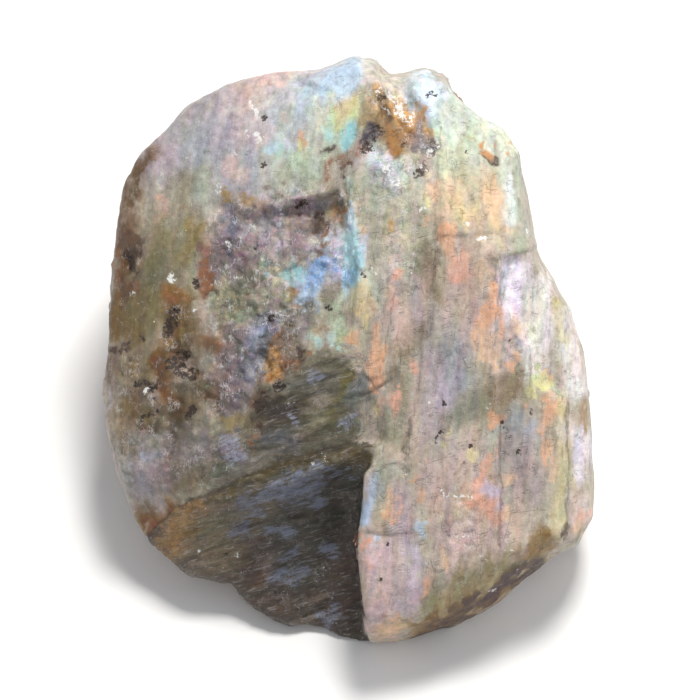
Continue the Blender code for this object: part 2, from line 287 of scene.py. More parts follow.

# Broad, soft changes of the stone's own colour. A few strokes paint light and shade as well, as noted
# below.
# The blue-white and mint strokes at u 0.2 to 2.2 mm, v 5 to 11 mm, lie on the ridge's left-facing wall:
# painted light over its shade.
# The dark brow and deep olive strokes along the hollow's upper edge, from u -16.2 to -0.5 mm, v -16 to
# -9.6 mm, are darker feldspar with painted shade where the slope falls into the hollow.
# The dark brown strokes along the lower right edge, at u 6.6 to 19 mm, v -28.4 to -21.4 mm, paint shade
# on the underside that faces down, over its olive brown.
# The lilac grey and pale mauve strokes along the notch's step, at v 14 to 15 mm from u -11.4 to -2.8 mm,
# are lighter than the stone there: painted light over the step's shade.
# The pale blue-grey stroke down the slab's edge beside the hollow, at u 1.3 to 2.3 mm, v -12.8 to -16.8
# mm, is partly its blue-grey and partly a painted highlight where that edge catches the light.
ZONES = read_strokes("""
lavender_grey 5.5 .85 -175,210 -135,225 -115,200 -150,185
3.5 .8 -115,235 -100,185 -105,165
cool_grey 3 .7 -145,205 -130,175 -115,185
blush 2.2 .7 -110,252 -88,240 -95,222
2.5 .85 -85,268 -60,273 -35,277
.9 .7 -114,185 -112,170
lilac .9 .7 -185,210 -187,175
salmon .8 .8 -188,158 -190,145 -188,135
tan_brown 1.2 .85 -200,198 -213,178 -220,152 -224,122
umber .6 .6 -209,190 -219,168 -222,145
olive 2.4 .8 -163,165 -163,120 -178,110
2.8 .85 -175,88 -188,50
sage_grey 1.6 .7 -143,172 -147,150
mint_grey 2.4 .9 -65,178 -40,184 -52,164
1.4 .7 -60,210 -35,210
blue_grey 2.4 .8 -75,235 -58,248 -50,228 -65,215
pale_blue 2.4 .95 -32,258 -5,274 2,282
1.4 .8 -35,238 -20,246
beige 1 .95 17,286 26,272 20,278
khaki_grey .8 .9 12,262 15,240 12,218
tan 1.3 .9 30,242 24,225 28,232
beige 1 .9 44,268 54,264
tan_light .9 .9 48,253 62,247
ice_white 2 1 75,262 87,252 75,240
mint_white 2.4 .95 102,230 120,220 130,222
mint 2.6 .9 120,200 150,208 160,190
mint_grey 1.8 .8 100,185 120,178 130,190
mint_white 1 .9 162,165 160,135 157,150
sage_grey .5 .9 167,185 169,150 174,115
cool_white 2 .9 26,187 36,178 46,164
sage_grey 2 .85 15,162 35,145 55,150
stone_green 2.4 .85 50,115 60,135 72,110
greige 2.4 .8 30,95 46,85
peach_tan 1.8 .75 105,162 116,138
2 .8 135,150 140,135
greige_pink 1.8 .8 122,95 132,105
olive_grey 1.4 .85 80,98 75,78
1 .7 82,60 90,50
mauve_grey 1.6 .8 65,60 60,38 80,28
olive_grey 1.4 .85 67,17 55,2
pink_grey 1.8 .8 43,38 48,20
2.2 .8 115,42 120,60
slate_grey 1.6 .85 108,10 100,-15 108,-30
lilac_grey 1.4 .85 80,-12 82,-50 80,-80
slate_lilac 1.2 .85 96,-48 100,-35
olive_grey 2 .95 150,-35 162,-38 140,-48
grey_green 1.3 .9 108,-63 122,-54
cool_grey 1.8 .9 170,-80 158,-70 180,-70
mauve_grey 2.2 .85 162,-100 170,-120 180,-142
pink_grey 2.2 .8 100,-120 110,-98 90,-132
orange_grey 1.8 .8 130,-138 140,-162 120,-152
pink_grey 2.4 .8 110,-185 132,-192 160,-175
khaki_grey 1.6 .7 68,-150 80,-170
lavender_white 1.6 1 158,62 164,78 164,38
pearl 1.3 1 191,65 195,40 190,10
beige .7 .6 178,50 175,25 183,0
pearl 1.2 1 224,-8 222,-32 230,-42 218,4
yellow_olive .8 .85 208,47 210,28 215,14
tan .7 .7 233,-58 232,-75
lavender_white 1.2 .95 232,-92 230,-120
blush_white 1.2 .9 230,-148 232,-172
yellow_olive .8 .6 212,-53 212,-90 212,-130 208,-160 206,-178
beige_grey 1.3 .9 185,-48 180,-60
brown_band 1.3 .95 196,-190 180,-206
sage_olive 2 .95 90,-252 112,-240 132,-228 152,-218
brown_band 1.4 .85 80,-278 105,-267 132,-253 157,-238
under_brown .9 1 98,-272 130,-252 160,-232 190,-214
pink_lilac 2.8 .95 35,-210 40,-240 30,-262
lilac 1.5 .85 55,-218 60,-238 50,-250
rim_blue .9 .95 23,-128 22,-145 13,-168
sage_grey 1.2 .9 36,-120 46,-126
greige_dark 1.2 .9 30,-181 50,-180
peach_grey 1.3 .8 50,-272 35,-282
umber 1.7 .9 -226,110 -226,72 -222,52
.8 .7 -238,50 -242,20
olive_brown 2 .85 -230,32 -218,17
khaki 1.8 .85 -198,42 -208,22 -200,65
moss_grey 2 .85 -195,82 -182,80
olive_gold 1.2 .8 -154,118 -160,98
rust .8 .85 -145,97 -142,75 -147,62
rust_tan 1 .8 -180,55 -168,50
khaki_tan 2 .85 -222,-18 -210,-25 -198,-12
olive_brown 1.2 .8 -238,30 -232,18
mauve_brown 1.2 .7 -240,-8 -242,-35 -234,-52
khaki_tan 1.6 .9 -215,-48 -208,-60 -225,-55
amber_brown .9 .9 -185,-23 -182,-40 -188,-13
stone_brown 1.8 .85 -160,-45 -145,-35 -170,-55
olive_gold .9 .8 -136,-43 -128,-55 -122,-66
1.3 .7 -174,-70 -164,-76
1 .7 -115,-74 -100,-76
mauve_dark 1.3 .8 -210,-42 -195,-60 -200,-75
mauve 2.8 .9 -120,112 -110,90 -125,88
1.8 .9 -60,128 -50,115 -55,104
mauve_light 1.2 .6 -88,112 -75,100
tan_gold .9 .85 -10,142 -12,132 -17,115
lilac_grey 1.5 .85 -74,125 -80,114
1.2 .7 -108,125 -90,125
slate_blue .9 .85 -118,132 -118,122
moss_grey 2.4 .8 -105,60 -98,40 -114,50
slate_blue 1.8 .9 -80,22 -88,5 -82,0
pale_blue .8 .85 -96,-12 -93,-23
brown_streak .6 .9 -64,22 -70,2
stone_grey 1.3 .9 -50,30 -44,48 -53,18
frost_blue 1.3 .9 -100,-5 -102,-22 -94,10
beige_grey 1 .8 -107,12 -110,2
mauve 2.2 .9 -122,5 -118,-25 -114,-42
1.4 .9 -130,-50 -110,-52
rust_tan .9 .9 -64,-10 -73,-18 -84,-26
blue_white 1.8 .8 -14,82 -4,95 -20,102
1.2 .9 2,110 4,65
1.4 .7 -50,65 -34,60
moss_grey 1 .6 -20,50 -10,38
olive_gold .7 .8 -58,61 -62,50
brow_olive 1.8 .9 -30,-20 -15,-12 -45,-24
brow_grey 2.2 .9 -50,-35 -30,-42 -10,-32
olive_deep .9 .9 -5,-34 1,-24 -10,-50 -15,-68
brow_cool 1.3 .85 2,-55 10,-44 0,-70
brow_grey 1.2 .9 -60,-105 -30,-90 0,-80
brow_olive 1.8 .9 -20,-75 -5,-68 -32,-80
stone_sage 1.5 .8 32,-75 42,-86
brow_grey 2 .85 -100,-95 -115,-105 -85,-100
blue_lilac 1 .9 -75,-84 -58,-88
brow_dark 1.7 .95 -70,-62 -52,-58 -82,-70
mauve_pale 2.6 .9 -218,-100 -208,-132 -224,-120
mauve_brown 1.6 .7 -180,-132 -178,-108
brow_grey 3 .85 -150,-112 -125,-120 -160,-90
lilac_dim 1 .8 -122,-98 -110,-106
grey_green 1.4 .7 -145,-132 -160,-140
amber_brown 1.3 1 -178,-162 -184,-180 -194,-187 -170,-168
tan_brown 1 .85 -208,-160 -204,-168
amber_brown 1.4 .6 -182,5 -178,-50
1.2 .9 -200,-178 -188,-195 -168,-205
mint 1.5 .8 -28,238 -15,210 -25,200
rust_tan 1 .7 -144,12 -136,4
stone_brown 1.8 .8 -168,32 -164,0
1.6 .6 -210,-65 -190,-75
brow_dark 1.8 .85 -88,-50 -60,-60
1 .6 -75,5 -88,-10
brow_grey 1.6 .7 -80,-95 -60,-90
brow_dark .9 .95 -162,-160 -145,-152 -105,-132 -60,-114 -5,-96
hollow_olive .6 .9 -150,-158 -105,-140 -60,-122 -10,-105
lilac_grey .8 .9 -105,142 -70,145 -50,148
mauve_light .7 .8 -50,142 -30,144
blush_white 1.6 .7 150,30 155,0
pearl 1.4 .8 180,20 185,-15
pink_grey 1.6 .8 115,60 112,20
tan 1.2 .7 34,222 40,202
mint_grey 1.8 .8 105,238 120,226
brown_band 1.2 .8 66,-280 86,-272
brown_streak 1.4 .6 -66,10 -60,-10
olive_brown 1.6 .6 -172,20 -168,50
olive_grey 1.2 .7 42,-30 52,-50
brow_grey 1.2 .6 -170,-38 -150,-35
pink_grey 2.6 .75 80,-150 100,-175
lilac 1.6 .6 50,-150 55,-190
lavender_grey 2.2 .5 -214,-102 -202,-132
lilac_grey 1.6 .4 -170,-90 -150,-102
.8 .9 -114,140 -88,142 -58,145
rust_tan .8 .45 -231,100 -229,50
tan_gold 1 .5 -110,147 -92,143
olive_gold 1.4 .4 -192,125 -200,88
lilac_grey .7 .9 -54,146 -28,151
mauve_grey 2.4 .35 -185,220 -150,245 -115,260
amber_brown 1 .7 40,216 50,202
stone_sage 1.4 .5 -65,175 -50,170
stone_brown 1.2 .6 -164,-136 -150,-128
greige 1 .5 -242,-45 -238,-100 -230,-130
pink_grey 1.6 .5 108,95 115,50
under_brown 1.2 .9 76,-284 94,-276
hollow_brown 1.4 .5 -165,-60 -175,-80
brow_dark 1.6 .6 -65,-75 -50,-70
mauve_dark 1.4 .6 -66,-2 -60,-12
stone_brown 1.8 .5 -136,-38 -132,-48
mint 1.2 .8 12,66 22,50
pearl 1.2 .7 215,32 220,20
.9 .7 216,-70 220,-86
stone_green 1.6 .6 115,170 125,154
blush_white 1.4 .6 136,5 144,-5
umber .9 .7 -232,160 -242,110
khaki_tan 1.6 .6 -232,-70 -222,-95
""")

# Colours of the hollow's floor: its darker feldspar, and painted shade, as the hollow faces down into
# its own shade. The amber strokes on its left are lighter than the stone there: painted light over that
# shade.
HOLLOW = read_strokes("""
hollow_grey 4 .95 -145,-195 -125,-175 -135,-210
hollow_brown 2.6 .7 -125,-210 -100,-210 -115,-235
hollow_olive .9 .95 -135,-147 -105,-131 -65,-116 -20,-105 20,-102
1.2 .8 5,-110 18,-108
hollow_brown 2.8 .9 -15,-260 0,-240 -5,-220
2 .85 -90,-240 -60,-262
1.4 .8 -35,-248 -25,-262
hollow_grey .8 .6 -140,-183 -120,-180
amber_glow 1.7 .9 -172,-172 -180,-195 -162,-162
hollow_pale 2.2 .8 -138,-180 -125,-202 -145,-200
1.2 .5 -100,-165 -80,-158
""")

# Where the stone flashes, and in which colour. The brightest cyan, on the ridge's left-facing wall at u
# 0 to 0.5 mm, v 5.5 to 10 mm, is the flash painted brighter still: painted light over the wall's shade.
FLASHES = read_strokes("""
sky_pale 1.2 .9 -15,266 -3,276 2,284
ice 1 .7 -7,258 0,265
gold .9 .95 -9,243 -6,232
yellow .8 .85 2,240 3,234
lime .8 .85 -10,222 -13,226
.5 .7 -3,224 6,230
cyan 1 1 0,214 -5,204
cyan_pale .9 .8 -20,215 -16,208
orange .45 .9 -45,212 -44,205
yellow .5 .85 -50,204 -47,196
lime .4 .7 -51,192
sky_pale .7 .9 -73,198 -80,197
cyan_pale .6 .9 -66,195 -68,200
.6 .6 -86,195
mint_flash 1 .65 -54,184 -45,178 -60,186
cyan_pale .4 .8 0,154 2,162
.6 .8 4,122 0,128
.6 .6 -5,112 5,108
blush_flash .5 .7 -72,238 -69,232
.6 .6 -67,270 -64,266
green_flash .5 .85 -91,86 -90,94
cyan .4 .9 -83,90 -83,76
cyan_pale .5 .9 -59,88 -61,80
cyan .6 .95 -53,80 -54,69
sky 1 1 -32,88 -36,74
.6 .9 -20,88 -16,82
.7 .8 -39,68 -42,60
sky_pale .9 .7 -50,52 -38,50
cyan .7 .95 5,96 5,82
cyan_bright .7 .95 5,76 4,66
cyan_pale .5 .8 3,114 4,100
cyan_bright .6 .95 0,100 0,55
ice .4 .7 -1,144 1,118
sky .6 .8 1,80 0,66
cyan_pale .4 .7 2,68
mint_flash .9 .7 -8,45 -15,38 -10,20
cyan_pale .8 .85 -17,12 -8,8
lime .45 .85 -5,16 -10,8
cyan_pale .7 .75 -38,10 -32,5
yellow .6 .85 5,59 2,52
gold .8 .75 10,60 13,48 8,38
yellow .4 .8 19,35 14,32
orange .6 .8 21,46 24,42
.6 .95 2,12 5,16
.6 .9 28,28 25,16
1 1 26,5 24,-10 30,0
.9 1 22,-22 27,-31 24,-16
coral .9 .85 38,-56 45,-48 42,-52
yellow .4 .6 24,-58 28,-52
peach .8 .6 35,50 42,58
coral .4 .85 51,66 52,72
.6 .7 46,44
peach .8 .5 45,5 48,-5
coral .6 .85 65,-14 62,-7
orange .35 .85 77,125 76,132
yellow .3 .8 77,144 78,152
peach .8 .75 84,165 82,158
.6 .7 12,125 16,118
ochre .5 .85 41,122 40,114
peach .8 .55 95,145 90,138
orange .7 .85 96,125 99,110
.6 .7 93,118 98,100
.7 .75 102,88 106,94
coral .8 1 108,88 105,75 103,80
.7 .8 118,73 120,80
peach 1 .6 125,90 130,80 120,60
.8 .5 120,170 112,165
.9 .6 136,135 139,150
.9 .7 145,158 147,150
.9 .6 155,122 157,118
green_flash .9 .6 165,112 168,104
orange .5 .8 139,60 140,48
.9 .85 134,30 137,38 133,22
peach .9 .7 132,5 134,-8
orange .6 .9 148,28 152,22 147,32
peach .7 .8 162,15 164,8
.6 .8 145,5 146,-10
orange .6 .85 162,-11 164,-16
.4 .7 155,-12
lavender_flash .5 .8 168,-1 164,1
peach .7 .6 123,20 128,15
lime .9 1 186,-30 194,-34
yellow .7 .9 183,-34 197,-38
orange .4 .85 195,-25 196,-27
green_flash .5 .7 205,-40 206,-46
yellow .6 .8 210,-54 206,-60
orange .8 .85 199,-65 194,-75 197,-58
.6 1 194,-90 193,-102
peach .8 .7 200,-95 202,-112 198,-120
coral .3 .7 175,-46
orange .7 .95 138,-66 146,-62 140,-63
yellow .5 .85 99,-82 96,-86
.6 .85 123,-99 120,-103
coral .6 .95 136,-112 141,-106 132,-118
.7 .75 127,-125 128,-132
.9 .85 130,-155 138,-160 124,-150
.7 .7 142,-165 145,-158
peach .7 .7 157,-130 162,-126
.6 .6 155,-158 156,-164
lavender_flash .7 .9 140,-142 146,-148 134,-138
coral .4 .8 77,-112 75,-118
orange .4 .85 66,-128 64,-130
peach .5 .7 55,-128
orange .5 .85 71,-146 69,-152
.7 .85 43,-150 40,-162
peach .6 .8 37,-144 35,-165
orange .6 .7 35,-168 50,-160
yellow .5 .5 90,-156 95,-162
peach .6 .7 90,-150 88,-144
coral .5 .9 14,-188 15,-195
sky_pale .7 .9 67,-177 71,-180
.4 .6 25,-193
lavender_flash .8 .7 60,-195 68,-210
peach .6 .7 92,-195 96,-210
orange .5 1 74,-239 76,-236
coral .6 .8 77,-228 81,-220
.5 .6 20,-218 18,-208
peach .9 .6 45,-272 35,-278
.7 .6 33,-252
lavender_flash .6 .5 48,-256 43,-262
coral .8 .7 232,-175 235,-168
peach .6 .8 230,-187 228,-182
coral .4 .6 -185,158 -188,150
blue_flash_grey .7 .8 -34,-29 -36,-26
.8 .8 -120,-102 -112,-108
.6 .7 -206,-105 -200,-110
.5 .6 -54,-70 -58,-72
.6 .7 -5,-72 0,-68
.7 .7 -128,-88 -114,-86
hollow_blue .98 .9 -105,-155 -75,-142 -50,-148 -34,-147
.98 .8 -52,-130 -36,-134
.7 .8 -32,-116 -20,-120
.7 .8 -10,-128 2,-126
.84 .7 -120,-182 -105,-178
.7 .8 -80,-183 -60,-180
.84 .8 -25,-198 -16,-203
.7 .8 -70,-208 -55,-206
.98 .75 -70,-227 -50,-224
.84 .6 -25,-270 -18,-262
""")

# Rust and dark stains.
STAINS = read_strokes("""
amber 1.2 1 44,232 52,224 58,216
.9 .9 70,220 62,224
brown .6 .6 42,246 46,238
amber .8 .9 52,208 46,218
amber_light 1 1 38,244 46,238 60,238
.7 .7 68,228 75,230 80,224
.6 .6 30,260 36,256
brown .6 .9 38,232 35,242
mauve_stain .8 .7 65,212 70,216
slate_dark .8 .7 75,212 80,207 70,206
navy .7 .8 18,210 22,216 14,202
brown .5 .8 82,215 86,205
rust_stain .6 .75 -25,172 -22,182 -24,166
brown .5 .9 -27,196 -20,199
.5 1 -5,180 -1,179
rust_stain .8 .6 5,190 12,192 -10,190
umber_stain .4 .6 -80,160 -68,158
mauve_stain 1 .5 -50,136 -38,130
umber_stain .6 .35 -30,138 -32,128
brown .8 .9 -34,128 -38,124 -28,122
rust_stain .4 .8 -29,118 -28,112
.5 .7 -32,104 -34,96
gold_stain .6 .8 -121,153 -123,147
.6 .6 -105,150 -100,145
.4 .5 -170,147 -172,138
orange_stain .6 .95 134,201 139,199
.4 .7 133,192
brown .4 1 140,184 142,178
.4 .7 137,188 139,194
orange_stain .3 .6 158,200
gold_stain .4 .5 112,210 124,208
brown .4 .9 -212,105 -211,98
.9 .7 -222,95 -220,82
umber_stain .8 .8 -226,65 -223,50
rust_stain .5 .8 -216,65 -214,58
umber_stain .6 .7 -228,106 -215,110
brown .45 1 -240,1 -232,0 -224,4
rust_stain .6 .8 -145,85 -143,70 -148,62
umber_stain .5 .8 -146,60 -142,54
rust_stain .5 .8 -177,47 -170,45
umber_stain .5 .7 -160,8 -155,10
.7 .6 -140,5 -136,-2
rust_stain .6 .9 -52,-12 -60,-16 -70,-20
brown .5 1 -47,-7 -42,-11 -50,-5
rust_stain .4 .6 -28,-2 -35,-6
amber_light .8 .6 -75,-5 -80,-22
rust_stain .5 .8 -94,-88 -96,-96
brown .3 .8 -92,-72 -88,-80
umber_stain .7 .8 -185,-18 -182,-35
.6 .8 -138,-48 -131,-52
.5 .9 -207,-74 -197,-80
brown .35 .9 -207,-75 -209,-73
umber_stain .5 .7 -97,55
rust_stain .4 .5 -20,25 -28,20
.4 .6 -70,20 -71,5
umber_stain .3 .6 58,-75 55,-90 51,-102
gold_stain .4 .4 217,-60 217,-90 218,-110
umber_stain .5 .7 210,-187 216,-180
.5 .4 142,-129 148,-130
.4 .6 112,-115 105,-122
brown .4 .7 209,-46
umber_stain .8 .6 92,-273 105,-262
""")

# Small dark inclusions and pinholes, and at v 14.3 to 15.7 mm, u -5.2 to -1.2 mm, dots that paint the
# dark shadow line under the overhang of the notch's step.
INKS_AND_SHADOW_DOTS = read_strokes("""
.22 .9 28,254 34,251
.3 .7 18,208 24,212 16,202
.3 .9 30,217 26,219
.26 .9 14,200 22,200
.15 .8 78,253 83,255 86,254
.3 .9 68,174 73,180
.15 .7 73,187
.19 1 -88,232
.12 .9 -86,187 -88,183
.38 .8 -219,90 -218,82
.22 1 -155,67 -153,63
.3 .95 -178,38 -180,28 -182,16
.22 .8 -173,38 -175,25
.45 .95 -172,-6 -178,-12 -170,-16
.3 .9 -164,-5 -174,-2
.17 .95 -180,-16 -172,-22 -164,-25 -155,-29
.17 .8 -160,-20 -152,-22
.2 .85 -214,-34 -208,-32 -200,-36
.26 .9 -195,-37 -200,-41
.15 .8 -217,-39
.19 .8 -207,-69 -198,-63 -192,-61
.17 .8 -193,-49
.26 .95 -160,-62 -157,-58 -162,-66
.38 1 -69,-34 -71,-36
.38 1 -85,-46 -87,-50 -92,-55
.2 .8 -95,-60 -88,-54
.22 .9 -80,30 -77,32
.17 1 -22,41
.15 .7 -50,146 -43,148
.22 .8 -51,147 -46,148
.12 .5 -30,151 -20,153 -12,157
.22 .8 -50,145 -52,143
.18 .7 -34,135 -36,128
.14 1 93,-55
.14 1 90,-83
.14 1 86,-90
.12 1 121,-96
.12 .9 181,-61
.11 .8 166,-102
.1 .8 166,-25
.11 .8 160,9
.14 1 29,-230
.1 .8 38,-194
.1 .7 74,-167
.17 .8 13,74
.14 .7 115,197
.15 .8 53,202 57,204
.17 .8 -210,14 -208,10
.14 .6 -211,-2
.14 .6 -221,-11
.17 .7 -90,103 -96,101
.15 .7 -123,-205
.15 .6 -89,-246
.14 .7 3,-163 5,-170
.15 .7 150,-71 152,-78
""")

# White marks: painted glints, highlights off crystal faces, and white scratches.
WHITES = read_strokes("""
.3 1 -180,73 -179,69
.22 .9 -123,107 -121,103
.15 .8 -165,192
.34 .85 -93,215 -89,210 -92,207
.17 .9 -99,246 -96,238 -94,231
.14 .8 -104,220 -101,214
.11 .7 -117,200 -114,195
.11 .6 -102,190 -96,180
.26 .7 -132,165 -133,155
.18 .9 -218,57 -219,56
.11 .8 -196,30
.11 .8 -153,40
.2 1 -204,-43 -203,-41
.18 .9 -86,28 -84,31
.18 .9 -12,153 -10,152
.22 .8 30,259 28,256
.34 .9 38,254 44,247 50,238
.3 .8 46,238 54,232 62,226
.24 .9 50,240 56,230 62,226
.18 .9 61,231 64,236
.19 .8 40,183 37,175 42,167
.15 .7 32,182 45,170
.14 .8 46,162 48,168
.26 .8 80,197 79,194
.19 .8 90,200 93,201
.15 .8 70,185 74,178
.2 .7 -2,143 2,135 2,128
.12 .7 -70,142 -66,134
.12 .8 70,138 74,140
.09 .8 58,131 62,129
.19 .7 60,77 62,74
.14 .7 22,82 24,74
.14 .9 117,128 118,124
.12 .9 177,120 178,117
.14 .8 128,110 135,112
.1 .8 77,-54
.12 .8 56,-123
.1 .8 91,-139 94,-143
.09 .8 97,-144 108,-143 120,-147
.09 .7 105,-151 112,-154
.09 .8 100,-185 110,-185 118,-187
.09 .7 112,-193 126,-195
.1 .7 153,-197 158,-200 162,-198
.09 .7 130,-204 136,-208
.17 .8 139,-240 144,-240
.12 .7 166,-219
.09 .7 67,-190
.1 .7 222,-134 226,-137
.09 .7 225,-90 231,-94
.09 .8 -28,-102 -23,-111
.09 .7 -37,-112 -32,-117
.18 .7 -146,-155 -143,-157
.17 .7 -124,-157 -122,-160
.14 .7 -159,-164
.12 .7 -150,-202
.14 .7 -113,-205
.1 .8 -113,-26
.1 .7 -165,-96
.09 .7 -69,-72
.22 .7 -20,100 -10,92 -2,88
.15 .7 -28,92 -20,88
.15 .6 -12,108 -5,100
.11 .6 52,88 42,82
.11 .6 155,95 158,88
""")

# Cracks, and painted shadow lines: the dark foot of small ledges and steps, and the dark line under the
# overhang of the notch's step.
CRACKS_AND_SHADOW_LINES = read_strokes("""
.08 .7 -54,144 -38,150 -12,158
.07 .9 34,-115 49,-114 55,-120
.11 .6 18,-182 35,-185 54,-182
.08 .9 46,60 38,20 30,-22
.07 .8 90,220 86,170 82,110
.08 .8 84,155 86,100 80,50
.08 .8 69,20 71,-10 62,-70 56,-110
.08 .9 59,-66 58,-90 52,-100
.07 .7 91,-45 90,-90 96,-150
.09 .95 150,-70 149,-110 150,-150 148,-195
.07 .9 144,90 142,65
.09 .8 147,54 145,20 142,-10
.09 1 217,-52 216,-90 218,-120 216,-170 213,-188
.07 .8 179,-2 180,-30 178,-48
.06 .8 151,93 165,97 177,99
.07 .7 171,35 174,15 178,0
.06 .7 211,0 211,-25
.07 .7 201,-2 200,-35
.06 .8 87,111 94,112 101,113
.06 .9 12,-23 20,-30 25,-37 34,-33
.07 .9 10,-46 22,-40 36,-32
.06 .7 22,-14 34,-6
.06 .7 -60,-40 -40,-33 -18,-28
.06 .6 -65,-52 -45,-49 -25,-42
.07 .7 -86,-97 -70,-102 -50,-93
.06 .7 -30,-114 -10,-106 10,-100
.07 .7 22,-250 22,-250
.07 .7 138,190 140,180
.08 .7 130,114 140,116
.07 .8 -50,265 -42,266 -37,264
.08 .6 -178,-120 -175,-140
.07 .6 -20,5 -10,3 2,6
.06 .6 0,-8 12,-2
.06 .5 50,20 45,0 52,-15
.06 .5 75,95 70,75
.07 .6 110,78 108,60
""")

# Where the stone is broken rough and crystalline.
ROUGH = read_strokes("""
3.8 1 -110,110 -80,118 -50,125
4 1 -110,60 -95,20 -60,60
2.8 1 -110,-20 -125,-35 -88,-12
2.5 .9 -25,95 -8,85
1.8 .9 -10,135 0,145
1.6 1 30,250 50,234
1.6 .8 65,215 80,205
2 1 30,190 45,170
1.4 .8 70,180
1.3 .8 -175,35 -175,-5 -165,-16
1.3 .6 -220,90
1.6 .5 150,80 150,60
1.3 .6 165,5 175,15
1.8 .4 110,-150 110,-190
1 .6 210,-45
2 .5 42,145 50,110 55,75
4 .5 -210,-45 -165,-80 -200,-100
2 .5 -145,-120 -115,-100
""")

# Where the stone slopes to the hollow and is striped like it.
BROW = read_strokes("""
2.6 1 -60,-45 -30,-30 -5,-22
2.6 1 -80,-80 -50,-75 -15,-65
2.2 .9 -135,-115 -100,-100
1.6 .8 0,-50 2,-75
""")

# The edges of cleavage sheets, raised on the left of each line as it runs.
LEDGES = read_strokes("""
.32 2 86,185 91,122 82,60 80,20
.3 1.6 72,20 71,-10 62,-70 56,-112
.3 1.4 147,-195 150,-150 149,-80 142,-15 147,50 144,93
.3 1.8 30,65 26,40 16,0 11,-24
.22 1.4 91,-45 90,-90 96,-150 99,-210
.28 1.2 178,-48 181,-2 179,40
.28 1 213,-188 216,-170 218,-120 217,-50 213,20
.15 1.2 80,109 95,112 108,113
.25 1 149,92 165,97 178,100
.2 1.2 12,-181 35,-183 57,-182
.26 1.4 2,-46 16,-42 36,-31
.22 1.2 6,-22 20,-28 34,-24
.2 1 162,190 169,150 177,108
.24 1.6 -88,-60 -50,-38 0,-10
.2 1.4 -95,-97 -50,-90 5,-55
.2 1.6 40,60 36,20 46,-22
.16 1.2 105,200 120,150 126,100
.2 1.4 -135,50 -150,10 -154,-30
.18 1.4 -178,-150 -174,-120 -182,-80
.16 1.2 -145,-90 -100,-75 -88,-62
.15 1 120,114 135,115 147,118
.18 1 -54,264 -40,268 -28,262
.2 1.2 -5,160 2,135 6,90
.3 1 13,200 8,240 11,290
""")

# The outline of the deep hollow, from its upper end round the slab's broken edge.
HOLLOW_OUTLINE = read_points("""
30,-96 28,-112 23,-118 16,-130 10,-150 8,-180 8,-210 10,-250 14,-275 22,-298 22,-320 -230,-320
-230,-210 -174,-158 -105,-125 -43,-101 6,-92
""".split())


def smooth_step(low, high, value):
    share = np.clip((value - low) / (high - low), 0.0, 1.0)
    return share * share * (3.0 - 2.0 * share)


def mixed(share, low, high):
    """From low to high by a share for each row."""
    return low * (1.0 - share[:, None]) + high * share[:, None]


def cell_random(cells, seed):
    """Three numbers from 0 to 1 for every whole-numbered cell, the same ones every time."""
    x, y, z = (cells.astype(np.int64) & 0xFFFF).T
    stirred = (x * 73856093) ^ (y * 19349663) ^ (z * 83492791) ^ (seed * 2654435761)
    numbers = []
    for _ in range(3):
        stirred = (stirred ^ (stirred >> 13)) * 1274126177 & 0xFFFFFFFF
        stirred = (stirred ^ (stirred >> 16)) & 0xFFFFFFFF
        numbers.append(stirred / 0xFFFFFFFF)
    return np.stack(numbers, axis=1)


def cells_around(spots, seed):
    """Each spot's own cell and those round it, with the way from the cell's middle, and that squared."""
    home = np.floor(spots)
    for offset in itertools.product((-1, 0, 1), repeat=3):
        cells = home + offset
        away = spots - cells - cell_random(cells, seed)
        yield cells, away, np.einsum("ij,ij->i", away, away)


def facets(spots, seed, tilt, lift, step):
    """Flat cells, each at its own height and tilt, meeting in narrow steps. A cell is about 1 wide."""
    near = np.full(len(spots), np.inf)
    second = near.copy()
    near_height = np.zeros(len(spots))
    second_height = near_height.copy()
    for cells, away, distance in cells_around(spots, seed):
        own = cell_random(cells, seed + 1)
        height = lift * (own[:, 0] - 0.5) + tilt * np.einsum("ij,ij->i", away, own[:, ::-1] - 0.5)
        nearer = distance < near
        between = ~nearer & (distance < second)
        second_height = np.where(nearer, near_height, np.where(between, height, second_height))
        second = np.where(nearer, near, np.where(between, distance, second))
        near_height = np.where(nearer, height, near_height)
        near = np.where(nearer, distance, near)
    share = 0.5 + 0.5 * smooth_step(0.0, step, np.sqrt(second) - np.sqrt(near))
    return share * near_height + (1.0 - share) * second_height


def layered(places, layers):
    """How high layers of facets rise together, in mm."""
    height = np.zeros(len(places))
    for rise, density, shift, seed, tilt, lift, step in layers:
        height += rise * facets(places * density + shift, seed, tilt, lift, step)
    return height


def moved_by_chip(places, size, reach, seed):
    """The places, each moved with the whole chip that it lies in, so that colours change at its edge."""
    near = np.full(len(places), np.inf)
    nearest = np.zeros((len(places), 3))
    for cells, _, distance in cells_around(places / size, seed):
        nearest = np.where((distance < near)[:, None], cells, nearest)
        near = np.minimum(near, distance)
    return places + reach * (cell_random(nearest, seed + 1) - 0.5)


def ripple(places, size, octaves):
    """Smooth noise of about -1 to 1, at every place."""
    return np.array([noise.fractal(spot, 1.0, 2.0, octaves) for spot in (places / size).tolist()])


def wobbled(places, *waves):
    """The places, moved by smooth noise of each size and reach, to give what is drawn ragged edges."""
    for size, reach in waves:
        moves = np.array([noise.noise_vector(spot) for spot in (places / size).tolist()])
        places = places + reach * moves
    return places


def turned(places, degrees):
    """The places in a frame turned about n, so that its second axis leans by degrees from v to -u."""
    angle = math.radians(degrees)
    across = math.cos(angle) * places[:, 0] + math.sin(angle) * places[:, 1]
    along = math.cos(angle) * places[:, 1] - math.sin(angle) * places[:, 0]
    return np.stack((across, along, places[:, 2]), axis=1)


